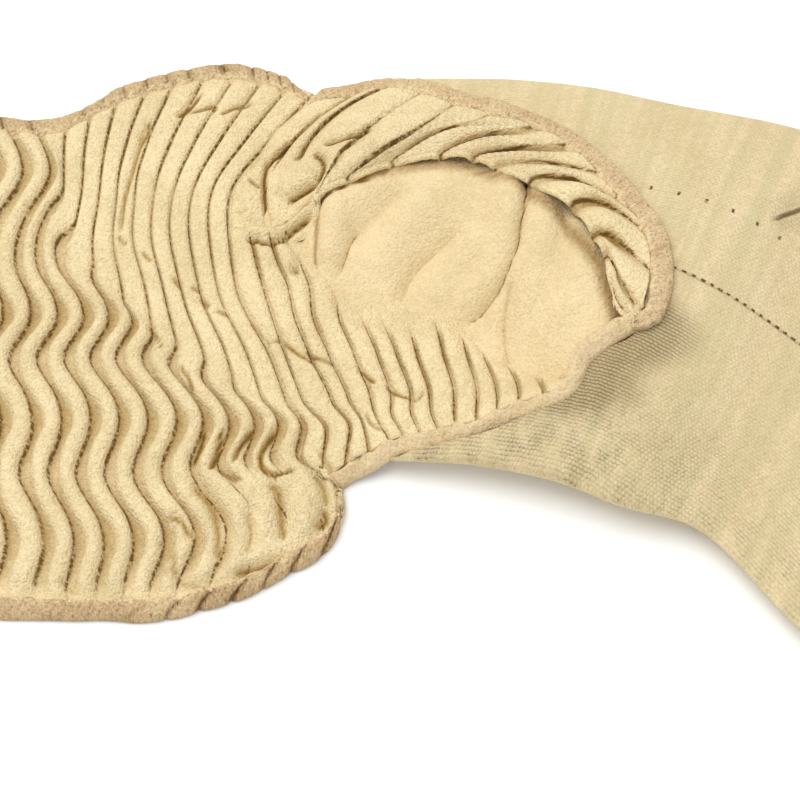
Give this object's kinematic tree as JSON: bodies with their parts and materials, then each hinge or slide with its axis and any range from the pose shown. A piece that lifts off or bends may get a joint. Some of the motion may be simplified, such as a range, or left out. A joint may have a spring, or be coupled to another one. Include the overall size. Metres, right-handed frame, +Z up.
{
  "type": "compression arm sleeve shrug",
  "caption": "Knit compression arm sleeves joined by a wavy ribbed back panel, laid flat with the front open and the armhole bands turned back.",
  "frame": {"origin": "middle of the outline's box, on the surface that the garment lies on", "axes": "+X towards the right sleeve, +Y towards the neck edge, +Z up, away from the surface"},
  "size_m": [0.9718, 0.2814, 0.0311],
  "materials": {
    "ribbed_knit": "matte",
    "plain_knit": "matte",
    "cuff_knit": "matte",
    "overlock_thread": "matte"
  },
  "bodies": {
    "root": {"back_panel": "ribbed_knit", "neck_edge": "overlock_thread", "hem_edge": "overlock_thread", "sleeve_right": "plain_knit", "cuff_right": "cuff_knit", "shoulder_band_right": "ribbed_knit", "armhole_edge_right": "overlock_thread", "underarm_gusset_right": "ribbed_knit", "underarm_edge_right": "overlock_thread", "sleeve_left": "plain_knit", "cuff_left": "cuff_knit", "shoulder_band_left": "ribbed_knit", "armhole_edge_left": "overlock_thread", "underarm_gusset_left": "ribbed_knit", "underarm_edge_left": "overlock_thread"}
  },
  "joints": []
}
